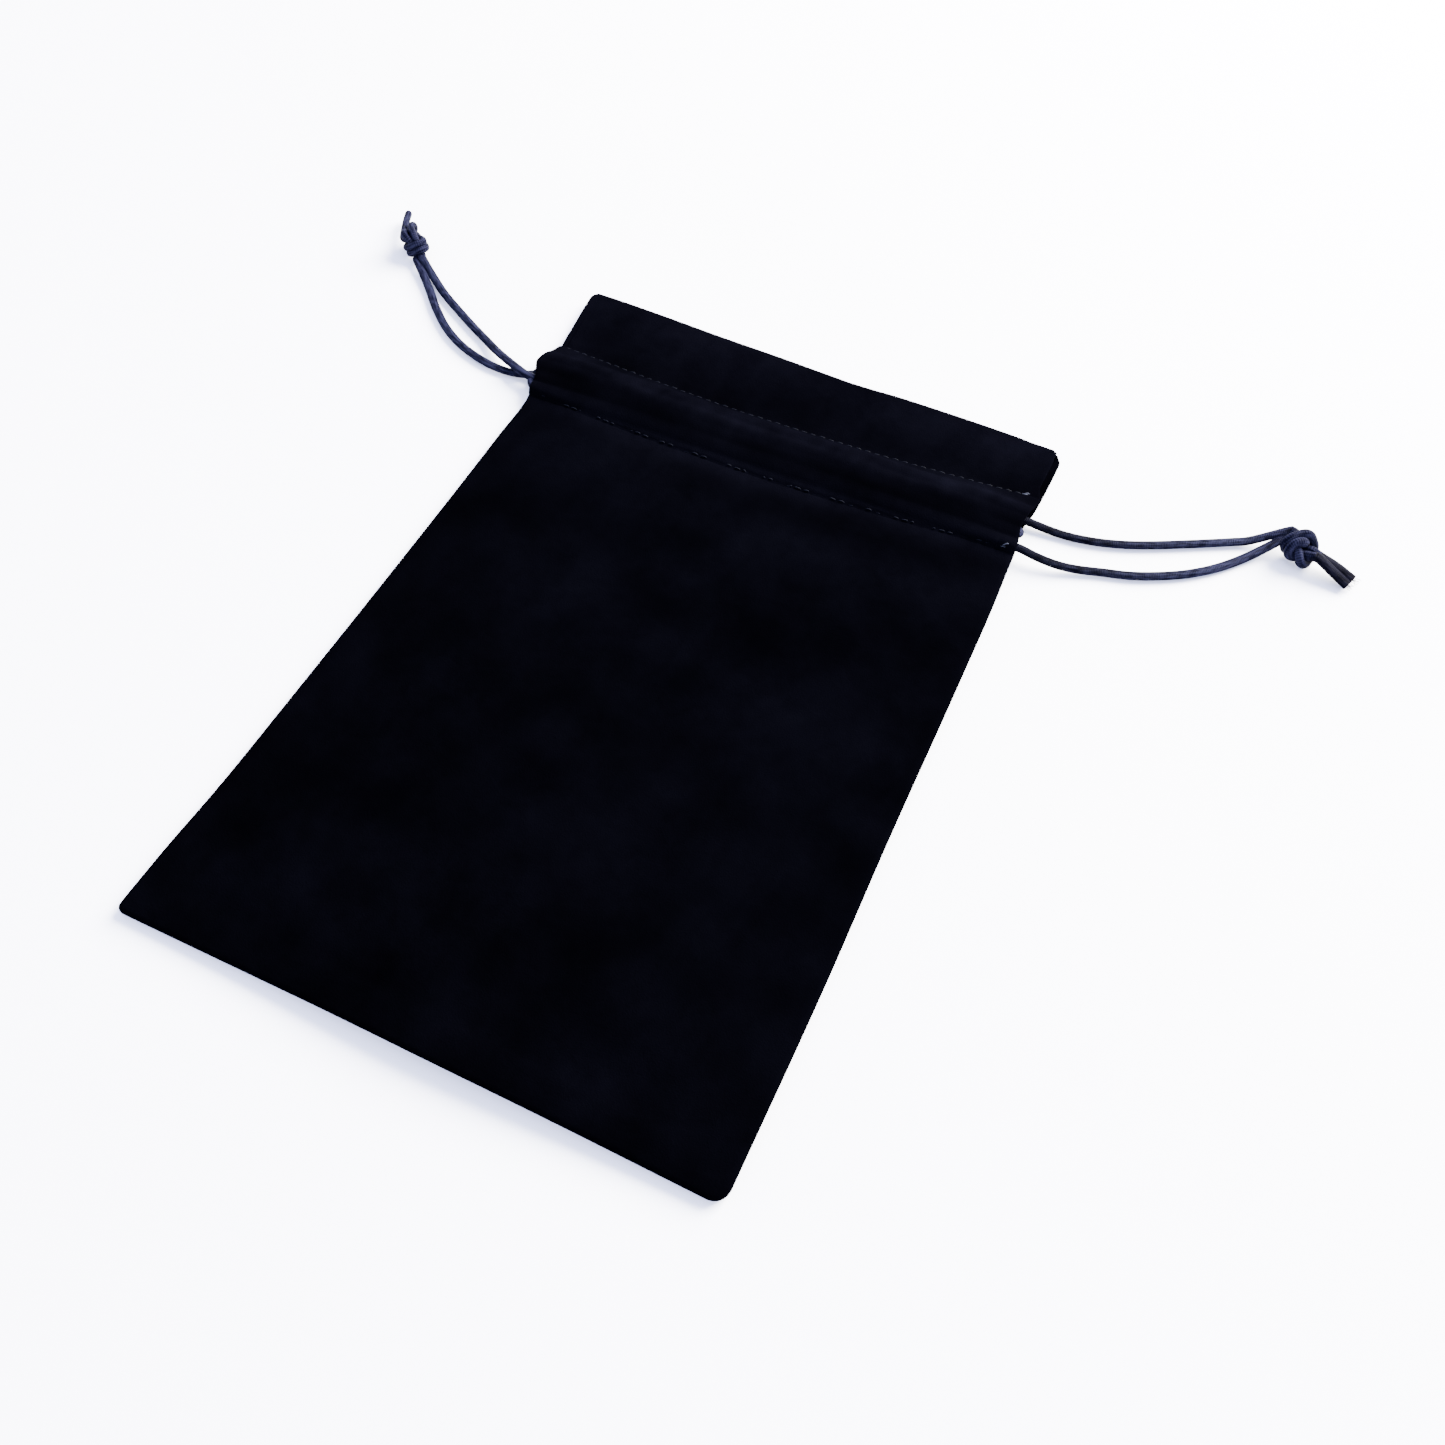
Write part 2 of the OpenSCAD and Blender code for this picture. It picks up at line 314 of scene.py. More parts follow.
def satin(name, dark, light, painted_gloss_span=None):
    """Satin cord: lengthwise floats over a fine cross rib, with a broad soft gloss.

    Its texture runs along the cord, in diameters. The last argument gives two lengths from the start of the
    cord, between which its colour goes from darker to full: painted shade near the bag and painted gloss
    towards the knot.
    """
    n = Nodes(name)
    lay = n.attribute("lay")
    yarn = n.noise(n.stretched(lay, "Vector", (2.3, 2.3, 0.8)), "Vector", 1.0, 3.0, 0.55)
    rib = n.add("ShaderNodeTexWave", Scale=1.5, Distortion=4.0, Detail=2.0)
    rib.wave_type = "BANDS"
    rib.bands_direction = "Z"
    n.link(lay, "Vector", rib, "Vector")
    worn = n.noise(n.stretched(lay, "Vector", (0.7, 0.7, 0.13)), "Vector", 1.0, 2.0, 0.5)
    mixed = n.weighted((yarn, 0.7), (rib, 0.12), (worn, 0.25))
    # The ramp's light end is partly painted highlight: the weave's light streaks stand in for the satin's
    # glints, its specular being nearly off.
    color = n.ramp(mixed, 0, [(0.46, dark), (0.62, light)])
    # Painted shade and painted gloss: the colour is scaled from dull at the cord's start to full further
    # along.
    if painted_gloss_span:
        along = n.add("ShaderNodeSeparateXYZ")
        n.link(lay, "Vector", along, "Vector")
        gloss = n.add("ShaderNodeMapRange", From_Min=painted_gloss_span[0], From_Max=painted_gloss_span[1], To_Min=0.22, To_Max=1.0)
        n.link(along, "Z", gloss, "Value")
        n.link(n.scaled(color, gloss, "Result"), "Vector", n.shader, "Base Color")
    else:
        n.link(color, "Color", n.shader, "Base Color")
    n.shader.inputs["Roughness"].default_value = 0.46
    n.shader.inputs["Specular IOR Level"].default_value = 0.004
    n.shader.inputs["Anisotropic"].default_value = 0.4
    fine = n.bump(yarn, "Fac", 0.8, 0.00025)
    ribbed = n.bump(rib, "Fac", 0.5, 0.00018, fine)
    n.link(ribbed, "Normal", n.shader, "Normal")
    return n.material


def thread(name, dark, light):
    """Twisted sewing thread."""
    n = Nodes(name)
    place = n.place()
    twist = n.noise(place, "Object", 3200.0, 2.0, 0.5)
    color = n.ramp(twist, "Fac", [(0.35, dark), (0.65, light)])
    n.link(color, "Color", n.shader, "Base Color")
    n.shader.inputs["Roughness"].default_value = 0.6
    n.shader.inputs["Specular IOR Level"].default_value = 0.02
    fine = n.bump(twist, "Fac", 0.4, 0.0001)
    n.link(fine, "Normal", n.shader, "Normal")
    return n.material


VELVET = velvet("velvet_face", (0.00015, 0.00014, 0.00028), (0.00038, 0.00037, 0.00072))
SATIN = satin("satin_braid", (0.0006, 0.0006, 0.0028), (0.0082, 0.0083, 0.0182))
# For the right legs: painted shade near the bag, painted gloss towards the knot.
GLOSS_PAINTED_SATIN = satin("satin_braid_painted_gloss", (0.0006, 0.0006, 0.0026), (0.0092, 0.0093, 0.0196), (3.0, 25.0))
# A darker copy of the satin: painted shade for the right knot's tails.
SHADED_SATIN = satin("satin_braid_painted_shade", (0.0002, 0.0002, 0.0009), (0.0022, 0.0021, 0.0046))
THREAD = thread("slate_thread", (0.0010, 0.0011, 0.0022), (0.0024, 0.0026, 0.0050))
PALE_THREAD = thread("pale_thread", (0.007, 0.0075, 0.012), (0.026, 0.028, 0.038))


# ------------------------------------------------------------------ cords

def frames_along(path):
    """Directions beside and above each ring of a tube, carried along without twisting."""
    ahead = np.gradient(path, axis=0)
    ahead /= np.linalg.norm(ahead, axis=1)[:, None]
    up = np.array([0.0, 0.0, 1.0])
    if abs(ahead[0] @ up) > 0.95:
        up = np.array([1.0, 0.0, 0.0])
    side = np.cross(up, ahead[0])
    side /= np.linalg.norm(side)
    sides = [side]
    for t in ahead[1:]:
        side = side - (side @ t) * t
        side /= np.linalg.norm(side)
        sides.append(side)
    sides = np.array(sides)
    return sides, np.cross(ahead, sides)


def tube_parts(path, radius, sides=22, flat=0.0):
    """Points, faces and texture places of a closed tube. radius may vary along it, and flat widens it.

    A texture place is the cosine and sine of the turn round the tube, and the diameters along it.
    """
    path = np.asarray(path, float)
    r = np.broadcast_to(radius, (len(path),))
    side, above = frames_along(path)
    turn = np.arange(sides) * math.tau / sides
    ring = (np.cos(turn)[None, :, None] * side[:, None] * (1 + flat)
            + np.sin(turn)[None, :, None] * above[:, None] * (1 - flat))
    verts = (path[:, None] + r[:, None, None] * ring).reshape(-1, 3)
    far = np.concatenate([[0], np.cumsum(np.linalg.norm(np.diff(path, axis=0), axis=1))])
    lay = np.stack([np.broadcast_to(np.cos(turn), (len(path), sides)),
                    np.broadcast_to(np.sin(turn), (len(path), sides)),
                    np.broadcast_to((far / CORD_D)[:, None], (len(path), sides))], axis=2).reshape(-1, 3)
    faces = []
    for i in range(len(path) - 1):
        for k in range(sides):
            n = (k + 1) % sides
            faces.append((i * sides + k, i * sides + n, (i + 1) * sides + n, (i + 1) * sides + k))
    last = len(path) - 1
    ends = np.array([path[0], path[-1]])
    first_cap = len(verts)
    verts = np.concatenate([verts, ends])
    lay = np.concatenate([lay, [[0, 0, 0], [0, 0, far[-1] / CORD_D]]])
    for k in range(sides):
        n = (k + 1) % sides
        faces.append((first_cap, n, k))
        faces.append((first_cap + 1, last * sides + k, last * sides + n))
    return verts, faces, lay


def tube_piece(name, strands, material, sides=22, flat=0.0):
    """One piece from one or more strands, each a (path, radius) pair."""
    verts, faces, lays = [], [], []
    count = 0
    for path, radius in strands:
        v, f, lay = tube_parts(path, radius, sides, flat)
        verts.append(v)
        lays.append(lay)
        faces += [tuple(i + count for i in face) for face in f]
        count += len(v)
    obj = mesh_piece(name, np.concatenate(verts), faces, material)
    attribute = obj.data.attributes.new("lay", "FLOAT_VECTOR", "POINT")
    attribute.data.foreach_set("vector", np.concatenate(lays).astype(np.float32).ravel())
    return obj


# The free legs, from the casing to just short of the knot
LEFT_FRONT_ROUTE = [
    on_row(-RUN_END, LEFT_FRONT_V, FRONT_CORD_Z), on_row(-76, LEFT_FRONT_V, 3.7), (-80, 75.2, 3.5),
    (-85, 77.4, 2.9), (-90.5, 80.2, 2.0), (-96, 83.4, 1.2), (-103, 87, 1.1), (-111, 91.4, 1.1),
    (-118.5, 95.8, 1.1), (-125.5, 100.8, 1.2)]
LEFT_BACK_ROUTE = [
    on_row(-RUN_END, LEFT_BACK_V, BACK_CORD_Z), on_row(-75, LEFT_BACK_V - 0.7, 1.6), (-80, 75.6, 1.1),
    (-86, 74.8, 1.1), (-93, 75.6, 1.1), (-101.5, 78.2, 1.1), (-109.5, 82.6, 1.1), (-117, 88.8, 1.1),
    (-123, 94.8, 1.1), (-128.5, 100, 1.4)]
RIGHT_FRONT_ROUTE = [
    on_row(RUN_END, RIGHT_FRONT_V, FRONT_CORD_Z), on_row(76, RIGHT_FRONT_V, 3.6), (81, 75.7, 3.1),
    (86.5, 76.3, 2.2), (92, 77.9, 1.4), (98.5, 80.2, 1.1), (106, 82.6, 1.1), (113.5, 86.2, 1.1),
    (120.5, 90.6, 1.1), (127, 96.2, 1.1), (133.4, 103.4, 1.4)]
RIGHT_BACK_ROUTE = [
    on_row(RUN_END, RIGHT_BACK_V, BACK_CORD_Z), on_row(76, RIGHT_BACK_V - 0.2, 1.7), (84, 88.1, 1.1),
    (92, 89.3, 1.1), (100, 91.8, 1.1), (107.5, 95.2, 1.1), (115, 99.2, 1.1), (122.5, 103.4, 1.1),
    (128, 106.5, 1.2), (132.5, 109, 1.6)]

# Between the rings of a free cord
RING_STEP = 0.55
# Between the rings of a knot and its ends
KNOT_STEP = 0.4


def tied(cord, rounds):
    """Two cords side by side in an overhand knot along x, shrunk until they press on each other."""
    reach, shorten = 13.0, 0.5
    t = np.linspace(-1.98, 1.98, 64)
    core = np.stack([2.6 * (t**3 - 3 * t), 2.6 * (t**4 - 4 * t * t) + 5, 1.15 * (t**5 - 10 * t)], axis=1)
    middle = np.concatenate([np.linspace([-reach, 0, 0], core[0], 12)[:-1], core,
                             np.linspace(core[-1], [reach, 0, 0], 12)[1:]])
    for _ in range(3):
        middle[1:-1] += 0.5 * ((middle[:-2] + middle[2:]) / 2 - middle[1:-1])
    beside = frames_along(middle)[0] * cord / 2
    p = np.concatenate([middle + beside, middle - beside])
    n = len(middle)
    ends = [0, n - 1, n, 2 * n - 1]
    y = cord / 2
    home = np.array([[-reach, y, 0], [reach, y, 0], [-reach, -y, 0], [reach, -y, 0]])
    i, j = np.triu_indices(2 * n, 1)
    same = (i < n) == (j < n)
    apart = np.abs(i % n - j % n)
    wanted = ~same | (apart > 2)
    i, j, same, apart = i[wanted], j[wanted], same[wanted], apart[wanted]
    for _ in range(rounds):
        for o in (0, n):
            p[o + 1:o + n - 1] += shorten * ((p[o:o + n - 2] + p[o + 2:o + n]) / 2 - p[o + 1:o + n - 1])
        step = np.linalg.norm(np.diff(p[:n], axis=0), axis=1).mean()
        near = ~same | (apart * step > 1.5 * cord)
        a, b = i[near], j[near]
        for _ in range(2):
            between = p[a] - p[b]
            far = np.sqrt((between**2).sum(axis=1)) + 1e-9
            hit = far < cord
            push = between[hit] * ((cord / far[hit] - 1) * 0.4)[:, None]
            np.add.at(p, a[hit], push)
            np.add.at(p, b[hit], -push)
            p[ends] = home
    return p[:n], p[n:]


def laid_knot(strands, centre, heading, radius, reach):
    """A knot of cord of that radius, turned to lie at its flattest on the table, without its long ends."""
    both = np.concatenate(strands)
    core = both[np.abs(both[:, 0]) < reach]

    def rolled(p, a):
        y, z = p[:, 1] * math.cos(a) - p[:, 2] * math.sin(a), p[:, 1] * math.sin(a) + p[:, 2] * math.cos(a)
        return np.stack([p[:, 0], y, z], axis=1)

    roll = min(np.linspace(-math.pi / 2, math.pi / 2, 37), key=lambda a: np.ptp(rolled(core, a)[:, 2]))
    low = rolled(core, roll)[:, 2].min()
    laid = []
    c, s = math.cos(heading), math.sin(heading)
    for strand in strands:
        first = np.argmax(strand[:, 0] > -reach)
        last = len(strand) - np.argmax(strand[::-1, 0] < reach)
        p = rolled(strand[first:last], roll)
        laid.append(np.stack([centre[0] + p[:, 0] * c - p[:, 1] * s, centre[1] + p[:, 0] * s + p[:, 1] * c,
                              p[:, 2] - low + radius + 0.05], axis=1))
    return laid


def nearest_first(knot, legs):
    """The knot's two strands, in the order that meets the two legs without crossing them."""
    ends = [np.array(route[-1]) for route in legs]
    straight = sum(np.linalg.norm(k[0] - e) for k, e in zip(knot, ends))
    crossed = sum(np.linalg.norm(k[0] - e) for k, e in zip(knot[::-1], ends))
    return knot if straight <= crossed else knot[::-1]


# The cord swells where it is bent hard round itself
LEFT_KNOT_R, RIGHT_KNOT_R = 1.12, 1.3
LEFT_KNOT = nearest_first(
    laid_knot(tied(1.95, 330), (-137.4, 109.0), math.radians(129), LEFT_KNOT_R, 6.6),
    (LEFT_FRONT_ROUTE, LEFT_BACK_ROUTE))
RIGHT_KNOT = nearest_first(
    laid_knot(tied(2.45, 900), (145.6, 110.6), math.radians(-14), RIGHT_KNOT_R, 5.4),
    (RIGHT_FRONT_ROUTE, RIGHT_BACK_ROUTE))


def leg_pieces():
    """Each free leg, from its exit to where it goes into the knot."""
    plan = {
        "left_front_leg": (LEFT_FRONT_ROUTE, LEFT_KNOT[0], SATIN),
        "left_back_leg": (LEFT_BACK_ROUTE, LEFT_KNOT[1], SATIN),
        "right_front_leg": (RIGHT_FRONT_ROUTE, RIGHT_KNOT[0], GLOSS_PAINTED_SATIN),
        "right_back_leg": (RIGHT_BACK_ROUTE, RIGHT_KNOT[1], GLOSS_PAINTED_SATIN),
    }
    legs = {}
    for name, (route, strand, material) in plan.items():
        path = catmull(route + [strand[0], strand[2]], RING_STEP)
        obj = tube_piece(name + "_cord", [(path, CORD_R)], material, flat=FLAT)
        legs[name] = (obj, path)
        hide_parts(name)
    return legs


def frayed(tip, ahead, seed):
    """Fine ends of yarn standing out of a cut cord."""
    draw = random.Random(seed)
    across = np.cross(ahead, (0, 0, 1.0))
    fibres = []
    for _ in range(16):
        turn, out = draw.uniform(0, math.tau), draw.uniform(0.1, 0.85)
        start = tip + 1.1 * out * (math.cos(turn) * across + math.sin(turn) * np.array((0, 0, 1.0)))
        lean = ahead + draw.uniform(-0.5, 0.5) * across + np.array((0, 0, draw.uniform(-0.2, 0.5)))
        length = draw.uniform(0.5, 1.9)
        bend = draw.uniform(-0.5, 0.5) * across
        points = [start - 0.3 * ahead, start, start + 0.5 * length * lean,
                  start + length * lean + bend * length * 0.5]
        fibre = catmull(points, 0.3)
        fibre[:, 2] = np.maximum(fibre[:, 2], 0.05)
        fibres.append((fibre, 0.045))
    return fibres


def knot_pieces():
    """Both knots with their cut ends: one on the left, tapered, and two on the right, frayed."""
    left_tail = [(-145.4, 117.6, 3.3), (-147.2, 121.9, 2.9)]
    low_first = LEFT_KNOT[0][-1][2] < LEFT_KNOT[1][-1][2]
    strands = []
    for strand, tail in zip(LEFT_KNOT, (left_tail, []) if low_first else ([], left_tail)):
        path = catmull(list(strand[::2]) + tail, KNOT_STEP)
        to_end = np.linspace(path_length(path), 0, len(path))
        taper = 0.3 + 0.7 * smooth(-0.5, 0.7, to_end) if tail else np.ones(len(path))
        strands.append((path, LEFT_KNOT_R * taper))
    left = tube_piece("left_knot_cord", strands, SATIN)
    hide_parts("left_knot", "left_tail")
    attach(left, "left_cord")
    tails = ([(155.2, 106.7, 3.0), (160.0, 105.3, 1.4)], [(155.9, 109.2, 2.5), (161.0, 107.8, 1.4)])
    strands, ends, fibres = [], [], []
    upper_first = RIGHT_KNOT[0][-1][1] > RIGHT_KNOT[1][-1][1]
    for k, (strand, tail) in enumerate(zip(RIGHT_KNOT, tails[::-1] if upper_first else tails)):
        strands.append((catmull(strand[::2], KNOT_STEP), RIGHT_KNOT_R))
        path = catmull([strand[-4], strand[-1]] + tail, KNOT_STEP)
        ends.append((path, RIGHT_KNOT_R))
        ahead = path[-1] - path[-3]
        fibres += frayed(path[-1], ahead / np.linalg.norm(ahead), 40 + k)
    right = tube_piece("right_knot_cord", strands, SATIN)
    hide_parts("right_knot")
    # The tails are painted darker: painted shade, where the satin catches no gloss.
    tail = tube_piece("right_tails_cord", ends, SHADED_SATIN, flat=0.3)
    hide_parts("right_upper_tail", "right_lower_tail")
    fray = tube_piece("right_frayed_ends", fibres, PALE_THREAD, 5)
    for obj in (right, tail, fray):
        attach(obj, "right_cord")


LEGS = leg_pieces()
knot_pieces()


# ------------------------------------------------------------------ the cloth's shape

# From the lower stitch row up to the upper one
CASING_H = 21.3
# The bag's outline: places along each edge, and how far out the edge lies there
LEFT_EDGE = [(-114.5, -76.2), (-98, -75.6), (-83, -74.7), (-50, -73.8), (-10, -73.0), (50, -72.4),
             (70, -72.5), (74, -73.2), (79, -75.3), (83.5, -74.2), (86, -73.6), (95, -74.2), (107, -75.3),
             (115, -75.9)]
RIGHT_EDGE = [(-114.5, 76.1), (-60, 76.3), (-25, 75.8), (30, 75.6), (57, 75.3), (70, 74.8), (76, 74.6),
              (81, 73.6), (86, 74.0), (91, 74.9), (100, 75.5), (115, 75.9)]
BOTTOM_EDGE = [(-76, -114.8), (-50, -114.6), (-25, -114.5), (5, -114.6), (45, -114.3), (76, -114.3)]
TOP_EDGE = [(-76, 114.7), (-50, 114.8), (-20, 114.3), (5, 114.1), (26, 114.9), (60, 115.3), (76, 115.4)]


def low_row(x):
    """The lower stitch row, as distances up from the straight fold line."""
    return -1.0 + 3.5 * (x / 74.0) ** 2


def inner_distance(x, y):
    """Distances from the sides and from the bottom."""
    left = x - through(LEFT_EDGE, y)
    right = through(RIGHT_EDGE, y) - x
    return np.minimum(left, right), y - through(BOTTOM_EDGE, x)


def over_cord(v, centre, z, spread=1.3):
    """The height of cloth laid over a cord, and nothing beside it."""
    reach = CORD_R + CLOTH + 0.08
    return z + reach * np.sqrt(np.clip(1 - ((v - centre) / (reach * spread)) ** 2, 0, 1))


def highest(*heights):
    """A rounded-off maximum of several heights."""
    return sum(h**9 for h in heights) ** (1 / 9)


def back_facing_top(x, y):
    """The top of the back cloth's folded-in layer."""
    v = row_v(x, y)
    over_left = over_cord(v, LEFT_BACK_V, BACK_CORD_Z)
    over_right = over_cord(v, RIGHT_BACK_V, BACK_CORD_Z)
    return highest(1.5 + 0 * v, over_left, over_right)


def pocket_loft(x, y, side, foot):
    """The height of the pocket's front: full in the middle, uneven, with a raised hem inside the seams."""
    loft = 2.75 + 2.5 * smooth(0, 30, side) * smooth(0, 38, foot)
    loft += 0.30 * ripple(x, y, 62, 3) * smooth(4, 30, side) * smooth(4, 30, foot)
    loft += 0.10 * ripple(x, y, 24, 8) * smooth(2, 16, side) * smooth(2, 16, foot)
    edge = np.minimum(side, foot)
    hem = smooth(0.6, 2.4, edge) * (1 - smooth(7.0, 9.5, edge))
    return loft + 0.32 * hem


def casing_top(x, y, up, pinch):
    """The height of the front casing, laid over the front cords and the back facing."""
    v = row_v(x, y)
    share = np.clip(up / CASING_H, 0, 1)
    ridge = np.sin(math.pi * share**1.12) * (2.75 + 0.3 * ripple(x, y * 0.2, 44, 5))
    ridge += 0.16 * ripple(x * 0.5, y, 9, 17) * bell(up, 12, 6)
    within = smooth(-0.6, 0.6, up) * smooth(-0.6, 0.6, CASING_H - up)
    over_right = over_cord(v, RIGHT_FRONT_V, FRONT_CORD_Z)
    over_left = over_cord(v, LEFT_FRONT_V, FRONT_CORD_Z)
    over_front = np.maximum(over_right, over_left)
    over_back = back_facing_top(x, y) + 1.9
    return highest(pinch + ridge, pinch + (over_front - pinch) * within, pinch + (over_back - pinch) * within)


def front_top(x, y):
    """The height of the front cloth's outer face: pocket, casing and header, pinched at the stitch rows."""
    up = row_v(x, y) - low_row(x)
    side, foot = inner_distance(x, y)
    pinch = 3.2 + 0.7 * smooth(0, 16, side)
    low = pinch + (pocket_loft(x, y, side, foot) - pinch) * smooth(0.3, 11.0, -up)
    header = 3.15 + 0.16 * ripple(x, y, 36, 12) - 0.25 * (1 - smooth(0, 5, side))
    high = header + (casing_top(x, y, up, pinch) - header) * smooth(-1.5, 2.2, CASING_H - up)
    top = np.where(up < 0, low, high)
    pucker = 0.11 * np.sin(math.tau * x / 3.7 + 2.2 * ripple(x, 0 * y, 18, 21))
    top += pucker * (bell(up, 0, 2.4) + bell(up, CASING_H, 2.4)) * smooth(0, 4, side)
    groove = bell(up, 0, 0.45) + bell(up, CASING_H, 0.45)
    return top - 0.22 * groove


def front_inner(x, y):
    """The middle of the front cloth's folded-in layer, between the back facing and the front cords."""
    v = row_v(x, y)
    up = v - low_row(x)
    over_back = back_facing_top(x, y) + 0.42
    flat = FRONT_CORD_Z - CORD_R - 0.5 * CLOTH - 0.1
    inside = smooth(-4, 1.5, up) * smooth(-0.5, 3.0, CASING_H - up)
    return over_back * (1 - inside) + np.maximum(over_back, flat) * inside


def lift(x, y):
    """The bottom seam stands a little off the table along its middle."""
    return 2.5 * bell(x, 6, 46) * (1 - smooth(BOTTOM_Y, BOTTOM_Y + 42, y))


def columns(count, fine):
    """Columns across the cloth from -1 to 1, where its rims start to curl, finer near both."""
    flat = np.concatenate([np.linspace(0, 0.93, count, endpoint=False), np.linspace(0.93, 1.0, fine)])
    return np.concatenate([-flat[::-1], flat[1:]])


# The radius of a curled rim, and how far round it goes
RIM_R = 1.15
CURL_END = math.radians(100)


def curl(fractions, steps=7):
    """Positions and curl angles across the cloth: flat columns, then a curled rim at each end."""
    angles = np.linspace(0, CURL_END, steps + 1)[1:]
    place = np.concatenate([[-1.0] * steps, fractions, [1.0] * steps])
    angle = np.concatenate([-angles[::-1], 0 * fractions, angles])
    return place, angle


def round_corner(x, y, corner_x, corner_y, r):
    """Draws a square corner in to a round one."""
    sx, sy = (1 if corner_x > 0 else -1), (1 if corner_y > 0 else -1)
    cx, cy = corner_x - sx * r, corner_y - sy * r
    px, py = np.maximum((x - cx) * sx, 0), np.maximum((y - cy) * sy, 0)
    inside = (px > 0) & (py > 0)
    big, far = np.maximum(px, py), np.hypot(px, py) + 1e-9
    k = np.where(inside, big / far, 1.0)
    return np.where(inside, cx + sx * px * k, x), np.where(inside, cy + sy * py * k, y)


def cloth_plan(rows, right_inset):
    """Places in plan and curl angles for a cloth of the given rows.

    A row is 0 at the bottom seam and 1 at the mouth. right_inset draws in the header's right edge.
    """
    place, angle = curl(columns(44, 12))
    s, t = np.meshgrid(place, rows)
    bend = np.meshgrid(angle, rows)[0]
    y_guess = BOTTOM_Y + t * (MOUTH_Y - BOTTOM_Y)
    up = row_v(75.0, y_guess) - low_row(75.0)
    lo = through(LEFT_EDGE, y_guess) + RIM_R
    hi = through(RIGHT_EDGE, y_guess) - RIM_R - right_inset * smooth(CASING_H - 2, CASING_H + 4, up)
    x = (lo + hi) / 2 + s * (hi - lo) / 2 + RIM_R * np.sin(bend)
    y_lo, y_hi = through(BOTTOM_EDGE, x) + RIM_R, through(TOP_EDGE, x)
    return x, y_lo + t * (y_hi - y_lo), bend


def nap_and_painted_light_at(x, y):
    """A factor on the velvet's colour: random mottling and a brushed stroke of the pile, plus painted light
    at the lower row, the crown and the mouth.
    """
    up = row_v(x, y) - low_row(x)
    nap_and_painted_light = 1 + 0.17 * ripple(x, y, 50, 61) + 0.13 * ripple(x, y, 19, 62)
    stroke = bell(np.hypot(x - 12, (y + 92) * 0.8), 76, 5) * smooth(-40, -10, x) * (1 - smooth(30, 60, x))
    nap_and_painted_light += 0.30 * stroke * smooth(8, 24, -up)
    # Painted light: lighter along the lower row, where the cloth slopes away from the lamp, and in a faint
    # band below it.
    nap_and_painted_light += 1.1 * bell(up, 0, 4.4) + 0.3 * bell(up, -20, 9)
    casing = smooth(0, 2, up) * (1 - smooth(CASING_H - 2, CASING_H, up))
    # Painted highlight: lighter along the casing's crown, where the ridge catches the lamp.
    crown_highlight = bell(up, 15.3, 4.4) * (1 + 0.28 * ripple(x * 0.5, y, 15, 63) + 0.2 * ripple(x, y, 7, 64))
    nap_and_painted_light += casing * (0.05 + 1.15 * crown_highlight)
    # Painted light: the header a little lighter, with a painted highlight towards the folded mouth.
    nap_and_painted_light += smooth(CASING_H - 1, CASING_H + 2.5, up) * (0.15 + 0.8 * smooth(20, 0, MOUTH_Y - y))
    return np.clip(nap_and_painted_light, 0.4, 3.0)


def shell(outer, inner):
    """Points and faces of a closed sheet from its two sides, as grids of the same shape."""
    rows, cols = outer.shape[:2]
    mid = (outer + inner) / 2
    verts = [outer.reshape(-1, 3), inner.reshape(-1, 3)]
    count = rows * cols

    def at(layer, i, j):
        return layer * count + i * cols + j

    faces = []
    for i in range(rows - 1):
        for j in range(cols - 1):
            faces.append((at(0, i, j), at(0, i, j + 1), at(0, i + 1, j + 1), at(0, i + 1, j)))
            faces.append((at(1, i, j), at(1, i + 1, j), at(1, i + 1, j + 1), at(1, i, j + 1)))
    rim = ([(0, j) for j in range(cols)] + [(i, cols - 1) for i in range(1, rows)]
           + [(rows - 1, j) for j in range(cols - 2, -1, -1)] + [(i, 0) for i in range(rows - 2, 0, -1)])
    inward = {}
    for i, j in rim:
        ii, jj = min(max(i, 1), rows - 2), min(max(j, 1), cols - 2)
        out = mid[i, j] - mid[ii, jj]
        inward[(i, j)] = out / (np.linalg.norm(out) + 1e-9)
    half = np.linalg.norm(outer - inner, axis=2) / 2
    rim_points = np.array([mid[p] + inward[p] * half[p] * 0.8 for p in rim])
    verts.append(rim_points)
    base = 2 * count
    for k, p in enumerate(rim):
        n = (k + 1) % len(rim)
        q = rim[n]
        faces.append((at(0, *q), at(0, *p), base + k, base + n))
        faces.append((base + n, base + k, at(1, *p), at(1, *q)))
    return np.concatenate(verts), faces


def normals(grid):
    """Surface directions of a grid of places, pointing to the side where its rows and columns turn left."""
    across = np.gradient(grid, axis=1)
    along = np.gradient(grid, axis=0)
    n = np.cross(across, along)
    return n / (np.linalg.norm(n, axis=2)[:, :, None] + 1e-12)


# How high the two cloths meet in the seams
SEAM_Z = 1.35
# Rows up a cloth, finer at the bottom seam, the casing and the mouth, and those of its facing, downwards
ROWS = np.concatenate([np.linspace(0, 0.03, 6, endpoint=False), np.linspace(0.03, 0.76, 110, endpoint=False),
                       np.linspace(0.76, 0.93, 70, endpoint=False), np.linspace(0.93, 1.0, 18)])
FACING_ROWS = ROWS[::-1][(ROWS[::-1] < 0.999) & (ROWS[::-1] > 0.775)]


